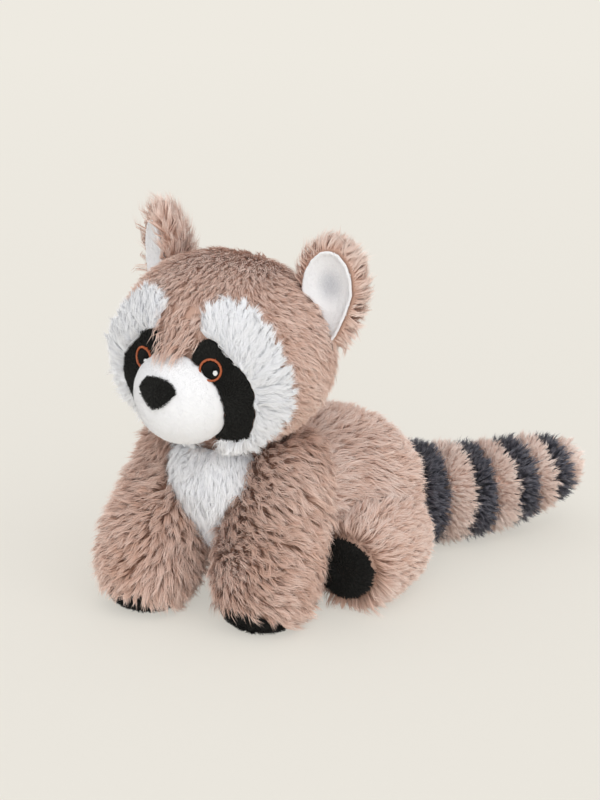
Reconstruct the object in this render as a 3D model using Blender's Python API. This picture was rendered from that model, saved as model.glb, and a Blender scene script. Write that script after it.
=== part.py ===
"""Sitting plush raccoon, about 28 cm from nose to tail tip.

Z is up and the raccoon looks along -Y, so its own left side is +X. The sewn panels that hold stuffing
are solids. The panels that lie on them, such as the eye masks, are shells of even thickness that follow
the stuffed form below, with a small seam gap to everything that they touch.
"""

import math

import bmesh
import bpy
import numpy as np
from mathutils import Matrix, Vector, noise

MM = 0.001

# Cloth and seams
SEAM_GAP = 0.3 * MM
SHORT_PILE = 1.8 * MM
LONG_PILE = 3.0 * MM
THREAD = 0.9 * MM
PILE_RELIEF = 1.1 * MM
TUFT_SPACING = 8.0 * MM
OUTLINE_STEP = 6 * MM

# Body: a stuffed form from the chest, under the chin, back to the rump
BODY_LENGTH = 148 * MM
RUMP_WIDTH = 100 * MM
RUMP_HEIGHT = 97 * MM
WAIST_HEIGHT = 82 * MM
BACK_RISE = 94 * MM
CHEST_WIDTH = 80 * MM
CHEST_DEPTH = 74 * MM
CHEST_RISE = 95 * MM
CHEST_FRONT = 3 * MM
CHEST_OUT = -6 * MM
RUMP_OUT = 7 * MM

# Head
HEAD_WIDTH = 120 * MM
HEAD_DEPTH = 92 * MM
HEAD_HEIGHT = 100 * MM
NECK_OVERLAP = 36 * MM
HEAD_BACK = 17 * MM
HEAD_OUT = 4 * MM
HEAD_TURN = math.radians(6)

# Muzzle and nose
MUZZLE_WIDTH = 53 * MM
MUZZLE_DEPTH = 54 * MM
MUZZLE_HEIGHT = 52 * MM
MUZZLE_REACH = 16 * MM
MUZZLE_DROP = 14 * MM
NOSE_WIDTH = 21 * MM
NOSE_HEIGHT = 15 * MM
NOSE_RAISE = 6.5 * MM

# Eye masks, cheeks and embroidered eyes, laid out on a plane turned to each side of the face
FACE_PLANE_TURN = math.radians(35)
MASK_WIDTH = 30 * MM
MASK_HEIGHT = 54 * MM
MASK_OUT = -1.6 * MM
MASK_DROP = 8.7 * MM
MASK_JAG = 0.5 * MM
MASK_JAG_SPACING = 8 * MM
CHEEK_WIDTH = 37 * MM
CHEEK_HEIGHT = 77 * MM
CHEEK_OUT = 9 * MM
CHEEK_DROP = 7 * MM
CHEEK_TUFT = 2.4 * MM
CHEEK_TUFT_SPACING = 9 * MM
FACE_INSET = {"left": 0 * MM, "right": 3.2 * MM}
EYE_TURN = math.radians(17)
EYE_OUT = 7.5 * MM
EYE_RAISE = 4.0 * MM
EYE_WIDTH = 12.2 * MM
EYE_RING_THREAD = 1.3 * MM
EYE_LIGHT_WIDTH = 2.8 * MM

# Ears
EAR_WIDTH = 34 * MM
EAR_HEIGHT = 50 * MM
EAR_THICKNESS = 16 * MM
EAR_RIM = 2.8 * MM
EAR_DROP = 0.4
EAR_OUT = {"left": 54.5 * MM, "right": 51.5 * MM}
EAR_RAISE = 36 * MM
EAR_BACK = {"left": 14 * MM, "right": 19 * MM}

# Legs and their soles
FORELEG_WIDTH = 49 * MM
FOREFOOT_WIDTH = 55 * MM
FORELEG_HEIGHT = 104 * MM
SHOULDER_SPREAD = 66 * MM
SHOULDER_BACK = 34 * MM
FOREFOOT_SPREAD = 65 * MM
FOREFOOT_BACK = 4 * MM
FOREFOOT_STEP = 8 * MM
FORE_ANKLE_BACK = 5 * MM
FORE_SOLE_WIDTH = 35 * MM
FORE_SOLE_TILT = math.radians(16)
HINDLEG_WIDTH = 48 * MM
HINDLEG_HEIGHT = 56 * MM
HINDLEG_LENGTH = 71 * MM
HINDLEG_SPREAD = 86 * MM
HINDLEG_FRONT = 47 * MM
HINDFOOT_SPLAY = 3 * MM
HIND_SOLE_WIDTH = 34 * MM
BIB_WIDTH = 68 * MM
BIB_HEIGHT = 66 * MM

# Tail: dark and light bands sewn edge to edge
TAIL_WIDTH = 51 * MM
TAIL_TIP_WIDTH = 24 * MM
TAIL_TIP_LENGTH = 9 * MM
TAIL_CLEARANCE = 7 * MM
TAIL_SINK = 24 * MM
TAIL_ROOT_OUT = 7 * MM
TAIL_REACH = 109 * MM
TAIL_SWING = 67 * MM
TAIL_TIP_RAISE = 6 * MM
FIRST_BAND_LENGTH = 38 * MM
DARK_BAND_LENGTH = 14 * MM
LIGHT_BAND_LENGTH = 17.5 * MM
BAND_SHRINK = 0.88
BAND_COUNT = 4
BAND_PINCH = 0.8 * MM

SIDES = {"left": 1, "right": -1}

# Colours, linear, with the pile's roughness
TAUPE = (0.40, 0.265, 0.20)
WHITE = (0.80, 0.79, 0.78)
BLACK = (0.012, 0.012, 0.014)
CHARCOAL = (0.030, 0.034, 0.050)
ORANGE = (0.55, 0.12, 0.03)

for old in list(bpy.data.objects):
    bpy.data.objects.remove(old, do_unlink=True)

PARTS = bpy.data.collections.new("plush_raccoon")
CUTTERS = bpy.data.collections.new("cutters")
bpy.context.scene.collection.children.link(PARTS)
bpy.context.scene.collection.children.link(CUTTERS)


# Objects, materials and Booleans

# The panels are thin shells whose edges slant, and there the Exact solver leaves stray slivers, so
# these Booleans use the Manifold solver. Every mesh that goes into one is closed.


def add_empty(name, parent=None, location=(0, 0, 0), turn=(0, 0, 0)):
    empty = bpy.data.objects.new(name, None)
    bpy.context.scene.collection.objects.link(empty)
    empty.parent = parent
    empty.location = location
    empty.rotation_euler = turn
    return empty


def add_object(name, bm, parent, cutter=False):
    # Fixed diagonals keep a form and its grown copies parallel where their quads bend
    bmesh.ops.triangulate(bm, faces=bm.faces, quad_method="FIXED")
    mesh = bpy.data.meshes.new(name)
    bm.to_mesh(mesh)
    bm.free()
    obj = bpy.data.objects.new(name, mesh)
    obj.parent = parent
    (CUTTERS if cutter else PARTS).objects.link(obj)
    if cutter:
        obj.hide_render = True
        obj.display_type = "WIRE"
    else:
        mesh.shade_smooth()
    return obj


def give_material(obj, name, colour, roughness=0.95):
    material = bpy.data.materials.new(name)
    material.use_nodes = True
    shader = material.node_tree.nodes["Principled BSDF"]
    shader.inputs["Base Color"].default_value = (*colour, 1)
    shader.inputs["Roughness"].default_value = roughness
    shader.inputs["Metallic"].default_value = 0
    material.diffuse_color = (*colour, 1)
    obj.data.materials.append(material)


def combine(obj, cutter, operation):
    modifier = obj.modifiers.new(f"{operation.lower()} {cutter.name}", "BOOLEAN")
    modifier.operation = operation
    modifier.solver = "MANIFOLD"
    modifier.object = cutter


def cut_by(obj, *forms, gap=SEAM_GAP):
    """Cut obj back from each form, which is a function that builds a piece grown by a distance."""
    for form in forms:
        combine(obj, form(f"{obj.name}_cut_{len(obj.modifiers)}", gap, True), "DIFFERENCE")


# Stuffed forms

def smooth_through(stations, t):
    """Read a smooth curve through the stations at t, which runs from 0 to 1."""
    values = np.array(stations, float)
    padded = np.vstack([2 * values[0] - values[1], values, 2 * values[-1] - values[-2]])
    place = min(max(t, 0), 1 - 1e-9) * (len(values) - 1)
    first = int(place)
    f = place - first
    a, b, c, d = padded[first:first + 4]
    return 0.5 * (2 * b + (c - a) * f + (2 * a - 5 * b + 4 * c - d) * f**2 + (3 * b - a - 3 * c + d) * f**3)


def spine_frame(stations, t, facing):
    """Centre, the directions across and up, the tangent and both half widths at t along the stations."""
    here = smooth_through(stations, t)
    ahead = smooth_through(stations, t + 0.01)
    behind = smooth_through(stations, t - 0.01)
    tangent = Vector(ahead[:3] - behind[:3]).normalized()
    across = facing.cross(tangent).normalized()
    return Vector(here[:3]), across, tangent.cross(across), tangent, here[3], here[4]


def tufted(point, amount):
    """How far the pile's tufts lift the surface at a point."""
    return PILE_RELIEF * amount * noise.noise(point / TUFT_SPACING)


def stuffed_form(name, stations, facing, fullness, grow, cutter, parent, segments, rings, floor=None):
    """A stuffed sack along the stations, rounded at both ends. A higher fullness gives blunter ends."""
    bm = bmesh.new()
    bmesh.ops.create_uvsphere(bm, u_segments=segments, v_segments=rings, radius=1)
    for vert in bm.verts:
        x, y, z = vert.co
        centre, across, up, tangent, wide, high = spine_frame(stations, (1 + z) / 2, facing)
        around = math.hypot(x, y)
        swell = (1 - min(abs(z), 1) ** fullness) ** (1 / fullness)
        x, y = (x / around * swell, y / around * swell) if around > 1e-4 else (0, 0)
        centre = centre + tangent * z * grow
        point = centre + across * x * wide + up * y * high
        lift = grow + tufted(point, 1)
        vert.co = centre + across * x * (wide + lift) + up * y * (high + lift)
        if floor is not None:
            vert.co.z = max(vert.co.z, floor - grow)
    return add_object(name, bm, parent, cutter)


def ball(name, centre, size, grow, cutter, parent, segments=20, rings=12, relief=None, drop=0.0):
    """An ellipsoid. relief, where given, is how much of the pile's relief a local point has. drop makes the
    lower half that much longer and draws it in, as in a teardrop."""
    bm = bmesh.new()
    bmesh.ops.create_uvsphere(bm, u_segments=segments, v_segments=rings, radius=1)
    for vert in bm.verts:
        amount = relief(vert.co) if relief else 0
        lift = grow + tufted(vert.co * HEAD_WIDTH / 2, amount)
        below = max(0, -vert.co.z)
        shape = (1 - drop * below, 1, 1 + drop * (below > 0))
        vert.co = Vector(centre) + Vector(shape[i] * vert.co[i] * (size[i] / 2 + lift) for i in range(3))
    return add_object(name, bm, parent, cutter)


def outline_prism(name, points, place, depth, parent, grow=0.0, tuft=0.0, tuft_spacing=OUTLINE_STEP):
    """A closed outline through the points, drawn in X and Z of the place and run along its Y as a cutter."""
    ring = np.array(points, float)
    steps = 5
    loop = []
    for i in range(len(ring)):
        a, b, c, d = (ring[(i + k) % len(ring)] for k in (-1, 0, 1, 2))
        for f in np.arange(steps) / steps:
            loop.append(0.5 * (2 * b + (c - a) * f + (2 * a - 5 * b + 4 * c - d) * f**2
                               + (3 * b - a - 3 * c + d) * f**3))
    loop = np.array(loop)
    length = np.linalg.norm(np.roll(loop, -1, 0) - loop, axis=1).sum()
    tufts = max(6, round(length / tuft_spacing))
    place_along = np.arange(2 * tufts) / (2 * tufts) * len(loop)
    loop = np.stack([np.interp(place_along, np.arange(len(loop) + 1), np.append(loop[:, k], loop[0, k]))
                     for k in (0, 1)], 1)
    tangent = np.roll(loop, -1, 0) - np.roll(loop, 1, 0)
    tangent /= np.linalg.norm(tangent, axis=1)[:, None]
    outward = np.stack([tangent[:, 1], -tangent[:, 0]], 1)
    area = (loop[:, 0] * np.roll(loop[:, 1], -1) - np.roll(loop[:, 0], -1) * loop[:, 1]).sum()
    outward *= math.copysign(1, area)
    reach = grow + tuft * (np.arange(2 * tufts) % 2)
    loop = loop + outward * reach[:, None]
    bm = bmesh.new()
    corners = [bm.verts.new((x, -depth / 2, z)) for x, z in loop]
    face = bm.faces.new(corners)
    side = bmesh.ops.extrude_face_region(bm, geom=[face])["geom"]
    bmesh.ops.translate(bm, vec=(0, depth, 0), verts=[g for g in side if isinstance(g, bmesh.types.BMVert)])
    bmesh.ops.recalc_face_normals(bm, faces=bm.faces)
    bm.transform(place)
    return add_object(name, bm, parent, True)


def round_prism(name, width, place, depth, parent, sides=16):
    """A cylinder along Y of the place, as a cutter."""
    bm = bmesh.new()
    radius = width / 2
    bmesh.ops.create_cone(bm, cap_ends=True, segments=sides, radius1=radius, radius2=radius, depth=depth)
    bm.transform(place @ Matrix.Rotation(math.pi / 2, 4, "X"))
    return add_object(name, bm, parent, True)


def panel(name, form, prism, thickness, base=0.0):
    """A sewn-on panel: the shell between two grown copies of the form, inside the prism."""
    obj = form(name, base + SEAM_GAP + thickness, False)
    combine(obj, prism, "INTERSECT")
    cut_by(obj, form, gap=base + SEAM_GAP)
    return obj


def scaled(points, width, height, out=0.0, up=0.0):
    return [(out + x * width, up + z * height) for x, z in points]


def mirrored(points, side):
    return [(side * x, z) for x, z in points]


# Frames that the pieces hang on

ROOT = add_empty("raccoon_frame")
HEAD_CENTRE = Vector((CHEST_OUT + HEAD_OUT, CHEST_FRONT + HEAD_BACK,
                      CHEST_RISE + CHEST_DEPTH / 2 - NECK_OVERLAP + HEAD_HEIGHT / 2))
HEAD_FRAME = add_empty("head_frame", ROOT, HEAD_CENTRE, (0, 0, HEAD_TURN))
MUZZLE_CENTRE = Vector((0, -(HEAD_DEPTH / 2 + MUZZLE_REACH - MUZZLE_DEPTH / 2), -MUZZLE_DROP))
FRONT = Vector((0, -1, 0))
UP = Vector((0, 0, 1))


# Body

BODY_REAR = CHEST_FRONT + BODY_LENGTH
BODY_STATIONS = [
    (CHEST_OUT, CHEST_FRONT, CHEST_RISE, CHEST_WIDTH * 0.48, CHEST_DEPTH * 0.48),
    ((CHEST_OUT + RUMP_OUT) / 2, CHEST_FRONT + BODY_LENGTH * 0.36, BACK_RISE - WAIST_HEIGHT / 2,
     (CHEST_WIDTH + RUMP_WIDTH) / 4, WAIST_HEIGHT / 2),
    (RUMP_OUT, CHEST_FRONT + BODY_LENGTH * 0.70, RUMP_HEIGHT * 0.45, RUMP_WIDTH / 2, RUMP_HEIGHT / 2),
    (RUMP_OUT, BODY_REAR, RUMP_HEIGHT * 0.43, RUMP_WIDTH * 0.46, RUMP_HEIGHT * 0.42),
]


def body_form(name, grow=0.0, cutter=False):
    return stuffed_form(name, BODY_STATIONS, UP, 2.4, grow, cutter, ROOT, segments=20, rings=14, floor=0)


def make_body():
    give_material(body_form("body"), "taupe long pile, body", TAUPE)


# Head, muzzle and nose

def head_form(name, grow=0.0, cutter=False):
    return ball(name, (0, 0, 0), (HEAD_WIDTH, HEAD_DEPTH, HEAD_HEIGHT), grow, cutter, HEAD_FRAME,
                segments=22, rings=14, relief=lambda p: min(max(p.y * 2 + 1, 0), 1))


def muzzle_form(name, grow=0.0, cutter=False):
    return ball(name, MUZZLE_CENTRE, (MUZZLE_WIDTH, MUZZLE_DEPTH, MUZZLE_HEIGHT), grow, cutter, HEAD_FRAME)


def make_head():
    head = head_form("head")
    cut_by(head, body_form)
    give_material(head, "taupe long pile, head", TAUPE)


def make_muzzle():
    muzzle = muzzle_form("muzzle")
    cut_by(muzzle, head_form, body_form)
    give_material(muzzle, "white short pile, muzzle", WHITE, 0.85)


NOSE_SHAPE = [(-0.5, 0.16), (-0.30, 0.46), (0.0, 0.50), (0.30, 0.42), (0.5, 0.08), (0.33, -0.22),
              (0.0, -0.5), (-0.36, -0.20)]


def make_nose():
    place = Matrix.Translation(MUZZLE_CENTRE + Vector((0, -MUZZLE_DEPTH / 2, NOSE_RAISE)))
    prism = outline_prism("nose_outline", scaled(NOSE_SHAPE, NOSE_WIDTH, NOSE_HEIGHT), place,
                          MUZZLE_DEPTH * 0.9, HEAD_FRAME)
    nose = panel("nose", muzzle_form, prism, SHORT_PILE)
    give_material(nose, "black short pile, nose", BLACK, 0.9)


# Masks, cheeks and eyes, one of each on each side

MASK_SHAPE = [(-0.50, 0.325), (-0.215, 0.50), (0.086, 0.338), (0.28, 0.229), (0.424, 0.091), (0.50, -0.085),
              (0.454, -0.331), (0.331, -0.50), (-0.15, -0.50), (-0.40, -0.10)]
CHEEK_SHAPE = [(-0.49, 0.43), (-0.36, 0.485), (-0.08, 0.505), (0.13, 0.437), (0.363, 0.237), (0.498, 0.043),
               (0.50, -0.127), (0.367, -0.25), (0.0, -0.468), (-0.314, -0.50), (-0.27, -0.30), (-0.22, -0.06),
               (-0.36, 0.16)]


def face_place(side, turn=FACE_PLANE_TURN):
    """The plane that one side's face panels are drawn on: its Y runs out of that side of the face."""
    return Matrix.Rotation(side * turn, 4, "Z") @ Matrix.Translation(FRONT * HEAD_DEPTH / 2)


def inset_of(side):
    """How far in the panels of one side of the face sit: that side is sewn closer to the nose."""
    return FACE_INSET["left" if side > 0 else "right"]


def mask_prism(name, side, grow=0.0):
    out = MASK_OUT - inset_of(side)
    points = mirrored(scaled(MASK_SHAPE, MASK_WIDTH, MASK_HEIGHT, out, -MASK_DROP), side)
    return outline_prism(name, points, face_place(side), HEAD_DEPTH, HEAD_FRAME, grow, MASK_JAG,
                         MASK_JAG_SPACING)


def make_mask(label, side):
    mask = panel(f"mask_{label}", head_form, mask_prism(f"mask_outline_{label}", side), SHORT_PILE)
    cut_by(mask, muzzle_form, body_form)
    give_material(mask, f"black short pile, mask {label}", BLACK, 0.9)


def make_cheek(label, side):
    points = mirrored(scaled(CHEEK_SHAPE, CHEEK_WIDTH, CHEEK_HEIGHT, CHEEK_OUT - inset_of(side), -CHEEK_DROP),
                      side)
    prism = outline_prism(f"cheek_outline_{label}", points, face_place(side), HEAD_DEPTH, HEAD_FRAME,
                          0, CHEEK_TUFT, CHEEK_TUFT_SPACING)
    cheek = panel(f"cheek_{label}", head_form, prism, LONG_PILE)
    cut_by(cheek, muzzle_form, body_form)
    combine(cheek, mask_prism(f"cheek_edge_{label}", side, 1.5 * SEAM_GAP), "DIFFERENCE")
    give_material(cheek, f"white long pile, cheek {label}", WHITE)


def make_eye(label, side):
    """Embroidered eye on the mask: an orange ring, a black pupil in it and a small white light."""
    turn = Matrix.Rotation(side * EYE_TURN, 4, "Z")
    place = turn @ Matrix.Translation((side * (EYE_OUT - inset_of(side)), -HEAD_DEPTH / 2, EYE_RAISE))
    light_place = place @ Matrix.Translation((EYE_WIDTH * 0.2, 0, -EYE_WIDTH * 0.1))
    mask_top = SEAM_GAP + SHORT_PILE
    hole = EYE_WIDTH - 2 * EYE_RING_THREAD

    ring = panel(f"iris_ring_{label}", head_form,
                 round_prism(f"iris_outline_{label}", EYE_WIDTH, place, HEAD_DEPTH, HEAD_FRAME),
                 THREAD, mask_top)
    combine(ring, round_prism(f"iris_hole_{label}", hole, place, HEAD_DEPTH, HEAD_FRAME), "DIFFERENCE")
    cut_by(ring, muzzle_form)
    give_material(ring, f"orange thread, eye ring {label}", ORANGE, 0.6)

    pupil = panel(f"pupil_{label}", head_form,
                  round_prism(f"pupil_outline_{label}", hole - 2 * SEAM_GAP, place, HEAD_DEPTH, HEAD_FRAME),
                  THREAD * 0.8, mask_top)
    combine(pupil, round_prism(f"pupil_hole_{label}", EYE_LIGHT_WIDTH + 2 * SEAM_GAP, light_place,
                               HEAD_DEPTH, HEAD_FRAME, 8), "DIFFERENCE")
    cut_by(pupil, muzzle_form)
    give_material(pupil, f"black thread, pupil {label}", BLACK, 0.6)

    light = panel(f"eye_light_{label}", head_form,
                  round_prism(f"light_outline_{label}", EYE_LIGHT_WIDTH, light_place, HEAD_DEPTH,
                              HEAD_FRAME, 8),
                  THREAD, mask_top)
    cut_by(light, muzzle_form)
    give_material(light, f"white thread, eye light {label}", WHITE, 0.6)


# Ears

EAR_TURN = {"left": math.radians(12), "right": math.radians(-36)}
EAR_LEAN = {"left": math.radians(4), "right": math.radians(-8)}
EAR_HOLLOW_FRONT = EAR_THICKNESS * 0.4


def make_ear(label, side):
    """A flat stuffed ear with a hollow front, and the lining that lies in the hollow."""
    frame = add_empty(f"ear_frame_{label}", HEAD_FRAME, (side * EAR_OUT[label], EAR_BACK[label], EAR_RAISE),
                      (0, EAR_LEAN[label], EAR_TURN[label]))
    hollow_size = (EAR_WIDTH - 2 * EAR_RIM, EAR_THICKNESS * 0.9, EAR_HEIGHT - 2 * EAR_RIM)
    hollow_centre = (0, -EAR_HOLLOW_FRONT, 0)

    def hollow_form(name, grow=0.0, cutter=False):
        return ball(name, hollow_centre, hollow_size, grow, cutter, frame,
                    segments=14, rings=8, drop=EAR_DROP)

    ear = ball(f"ear_{label}", (0, 0, 0), (EAR_WIDTH, EAR_THICKNESS, EAR_HEIGHT), 0, False, frame,
               segments=16, rings=10, drop=EAR_DROP)
    cut_by(ear, hollow_form, gap=0)
    cut_by(ear, head_form)
    give_material(ear, f"taupe long pile, ear {label}", TAUPE)

    lining = hollow_form(f"ear_lining_{label}", -SEAM_GAP)
    cut_by(lining, hollow_form, gap=-(SEAM_GAP + SHORT_PILE))
    mouth = Matrix.Translation((0, -EAR_HOLLOW_FRONT - EAR_HEIGHT / 2, 0))
    combine(lining, round_prism(f"ear_mouth_{label}", EAR_HEIGHT * 2, mouth, EAR_HEIGHT, frame), "DIFFERENCE")
    cut_by(lining, head_form)
    give_material(lining, f"white short pile, ear lining {label}", WHITE, 0.85)


# Legs

FOREFOOT_FLOOR = SHORT_PILE + SEAM_GAP


def foreleg_form_of(side):
    shoulder_x = CHEST_OUT + side * SHOULDER_SPREAD / 2
    foot_x = CHEST_OUT + side * FOREFOOT_SPREAD / 2
    foot_y = FOREFOOT_BACK + side * FOREFOOT_STEP
    stations = [
        (shoulder_x, SHOULDER_BACK, FORELEG_HEIGHT, FORELEG_WIDTH * 0.48, FORELEG_WIDTH * 0.50),
        (shoulder_x * 0.97, SHOULDER_BACK * 0.85, FORELEG_HEIGHT * 0.66, FORELEG_WIDTH * 0.50,
         FORELEG_WIDTH * 0.52),
        (foot_x, foot_y + FORE_ANKLE_BACK, FORELEG_HEIGHT * 0.32, (FORELEG_WIDTH + FOREFOOT_WIDTH) / 4,
         (FORELEG_WIDTH + FOREFOOT_WIDTH) / 4),
        (foot_x, foot_y, 0, FOREFOOT_WIDTH / 2, FOREFOOT_WIDTH / 2),
    ]

    def form(name, grow=0.0, cutter=False):
        return stuffed_form(name, stations, FRONT, 2.8, grow, cutter, ROOT, segments=16, rings=12,
                            floor=FOREFOOT_FLOOR)

    return form, foot_x, foot_y


def hindleg_form_of(side):
    x = RUMP_OUT + side * HINDLEG_SPREAD / 2
    height = HINDLEG_HEIGHT / 2
    stations = [
        (x + side * HINDFOOT_SPLAY, HINDLEG_FRONT, height * 0.92, HINDLEG_WIDTH * 0.46, height * 0.92),
        (x + side * HINDFOOT_SPLAY / 3, HINDLEG_FRONT + HINDLEG_LENGTH * 0.35, height, HINDLEG_WIDTH / 2,
         height * 1.02),
        (x, HINDLEG_FRONT + HINDLEG_LENGTH, height, HINDLEG_WIDTH / 2, height),
    ]

    def form(name, grow=0.0, cutter=False):
        return stuffed_form(name, stations, UP, 2.5, grow, cutter, ROOT, segments=16, rings=12, floor=0)

    return form, x, height


FORELEGS = {label: foreleg_form_of(side) for label, side in SIDES.items()}
HINDLEGS = {label: hindleg_form_of(side) for label, side in SIDES.items()}
CHEEK_CLEARANCE = LONG_PILE + 2 * SEAM_GAP


def make_foreleg(label, side):
    form, foot_x, foot_y = FORELEGS[label]
    leg = form(f"foreleg_{label}")
    cut_by(leg, body_form)
    cut_by(leg, head_form, gap=CHEEK_CLEARANCE)
    if label == "right":
        cut_by(leg, FORELEGS["left"][0])
    give_material(leg, f"taupe long pile, foreleg {label}", TAUPE)

    # The sole lies under the toes and looks down and forward
    depth = FOREFOOT_WIDTH
    place = (Matrix.Translation((foot_x, foot_y, FOREFOOT_WIDTH / 2))
             @ Matrix.Rotation(math.pi / 2 - FORE_SOLE_TILT, 4, "X") @ Matrix.Translation(FRONT * depth / 2))
    sole = panel(f"sole_fore_{label}", form,
                 round_prism(f"sole_fore_outline_{label}", FORE_SOLE_WIDTH, place, depth, ROOT), SHORT_PILE)
    if label == "right":
        cut_by(sole, FORELEGS["left"][0], gap=SHORT_PILE + 2 * SEAM_GAP)
    give_material(sole, f"black short pile, fore sole {label}", BLACK, 0.9)


def make_hindleg(label, side):
    form, x, height = HINDLEGS[label]
    fore = [FORELEGS[other][0] for other in SIDES]
    leg = form(f"hindleg_{label}")
    cut_by(leg, body_form, *fore)
    if label == "right":
        cut_by(leg, HINDLEGS["left"][0])
    give_material(leg, f"taupe long pile, hind leg {label}", TAUPE)

    place = Matrix.Translation((x + side * HINDFOOT_SPLAY, HINDLEG_FRONT, height * 0.96))
    prism = round_prism(f"sole_hind_outline_{label}", HIND_SOLE_WIDTH, place, HINDLEG_LENGTH * 0.6, ROOT)
    sole = panel(f"sole_hind_{label}", form, prism, SHORT_PILE)
    cut_by(sole, body_form)
    cut_by(sole, *fore, gap=SHORT_PILE + 2 * SEAM_GAP)
    give_material(sole, f"black short pile, hind sole {label}", BLACK, 0.9)


BIB_SHAPE = [(-0.50, 0.30), (-0.46, 0.50), (0.0, 0.52), (0.46, 0.50), (0.50, 0.30), (0.26, -0.08),
             (0.0, -0.50), (-0.26, -0.08)]


def make_bib():
    place = Matrix.Translation((CHEST_OUT, CHEST_FRONT, CHEST_RISE + CHEST_DEPTH * 0.16 - BIB_HEIGHT / 2))
    prism = outline_prism("bib_outline", scaled(BIB_SHAPE, BIB_WIDTH, BIB_HEIGHT), place, CHEST_DEPTH * 0.6,
                          ROOT)
    bib = panel("bib", body_form, prism, LONG_PILE)
    cut_by(bib, *[FORELEGS[label][0] for label in SIDES])
    cut_by(bib, head_form, gap=CHEEK_CLEARANCE)
    give_material(bib, "white long pile, bib", WHITE)


# Tail

# How far along, how wide as a share of TAIL_WIDTH, and how high as a share of TAIL_TIP_RAISE
TAIL_PROFILE = [(0, 1.04, 0.4), (0.25, 0.99, -0.1), (0.5, 0.91, -0.4), (0.75, 0.80, 0.1),
                (1, TAIL_TIP_WIDTH / TAIL_WIDTH, 1)]


def tail_stations():
    half = TAIL_WIDTH / 2
    root = Vector((RUMP_OUT + TAIL_ROOT_OUT, BODY_REAR - TAIL_SINK, half + TAIL_CLEARANCE))
    return [(root.x + share * TAIL_SWING, root.y + share * TAIL_REACH, root.z + lift * TAIL_TIP_RAISE,
             half * width, half * width) for share, width, lift in TAIL_PROFILE]


def tail_length(stations):
    points = np.array([smooth_through(stations, t)[:3] for t in np.linspace(0, 1, 80)])
    return np.linalg.norm(np.diff(points, axis=0), axis=1).sum()


def band_edges(length):
    """Where each band ends, as shares of the tail's length. Bands grow shorter towards the tip."""
    edges = [0.0, FIRST_BAND_LENGTH]
    for i in range(BAND_COUNT - 1):
        shrink = BAND_SHRINK ** i
        edges.append(edges[-1] + LIGHT_BAND_LENGTH * shrink)
        edges.append(edges[-1] + DARK_BAND_LENGTH * shrink)
    longest = length - TAIL_TIP_LENGTH
    squeeze = min(1, longest / edges[-1])
    return [edge * squeeze / length for edge in edges] + [1.0]


def tail_band(name, stations, start, end, length, last, colour):
    """One band: a cylinder whose rings follow the tail, drawn in a little at its seams."""
    rings = 4
    bm = bmesh.new()
    bmesh.ops.create_cone(bm, cap_ends=True, segments=16, radius1=1, radius2=1, depth=2)
    upright = [edge for edge in bm.edges if abs(edge.verts[0].co.z - edge.verts[1].co.z) > 1]
    bmesh.ops.subdivide_edges(bm, edges=upright, cuts=rings - 1, use_grid_fill=True)
    half_gap = SEAM_GAP / length / 2
    for vert in bm.verts:
        x, y, z = vert.co
        share = (z + 1) / 2
        t = start + half_gap + (end - start - 2 * half_gap) * share
        if last:
            t = start + half_gap + (end - start - half_gap) * share
        centre, across, up, tangent, wide, high = spine_frame(stations, t, UP)
        swell = 1
        if last:
            swell = max(1 - share ** 2.4, 0.04) ** 0.5
        pinch = BAND_PINCH * abs(math.cos(math.pi * share)) ** 3 if not last or share < 0.5 else 0
        point = centre + across * x * wide + up * y * high
        lift = tufted(point, 1) - pinch
        vert.co = centre + across * x * swell * (wide + lift) + up * y * swell * (high + lift)
    band = add_object(name, bm, ROOT)
    give_material(band, f"long pile, {name}", colour)
    return band


def make_tail():
    stations = tail_stations()
    length = tail_length(stations)
    edges = band_edges(length)
    for i, (start, end) in enumerate(zip(edges, edges[1:])):
        dark = i % 2 == 0
        name = f"tail_band_{'dark' if dark else 'light'}_{i // 2 + 1}"
        band = tail_band(name, stations, start, end, length, i == len(edges) - 2, CHARCOAL if dark else TAUPE)
        if i < 2:
            cut_by(band, body_form, *[HINDLEGS[label][0] for label in SIDES])


# The whole raccoon, stood with the centre of its base on the origin

def centre_on_base():
    bpy.context.view_layer.update()
    depsgraph = bpy.context.evaluated_depsgraph_get()
    corners = np.array([obj.matrix_world @ vert.co for obj in PARTS.objects
                        for vert in obj.evaluated_get(depsgraph).data.vertices])
    low, high = corners.min(0), corners.max(0)
    ROOT.location = (-(low[0] + high[0]) / 2, -(low[1] + high[1]) / 2, -low[2])
    bpy.context.view_layer.update()


make_body()
make_head()
make_muzzle()
make_nose()
for label, side in SIDES.items():
    make_mask(label, side)
    make_cheek(label, side)
    make_eye(label, side)
    make_ear(label, side)
    make_foreleg(label, side)
    make_hindleg(label, side)
make_bib()
make_tail()
centre_on_base()
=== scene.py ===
# %% [markdown]
# # A plush raccoon in long pile
#
# The real toy is a sewn shell of polyester pile fabric, packed with stuffing. The coat is a long
# taupe pile, the cheeks and the bib are long white pile, the muzzle, the ear linings, the masks, the
# nose and the soles are short pile, and the eyes are embroidered. This script dresses the packed
# CAD solids in that fabric: each solid becomes a smooth skin, and fine ribbons grow out of it.

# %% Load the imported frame
import math

import bmesh
import bpy
import numpy as np
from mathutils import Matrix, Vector, noise
from mathutils.bvhtree import BVHTree
from mathutils.kdtree import KDTree


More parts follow.
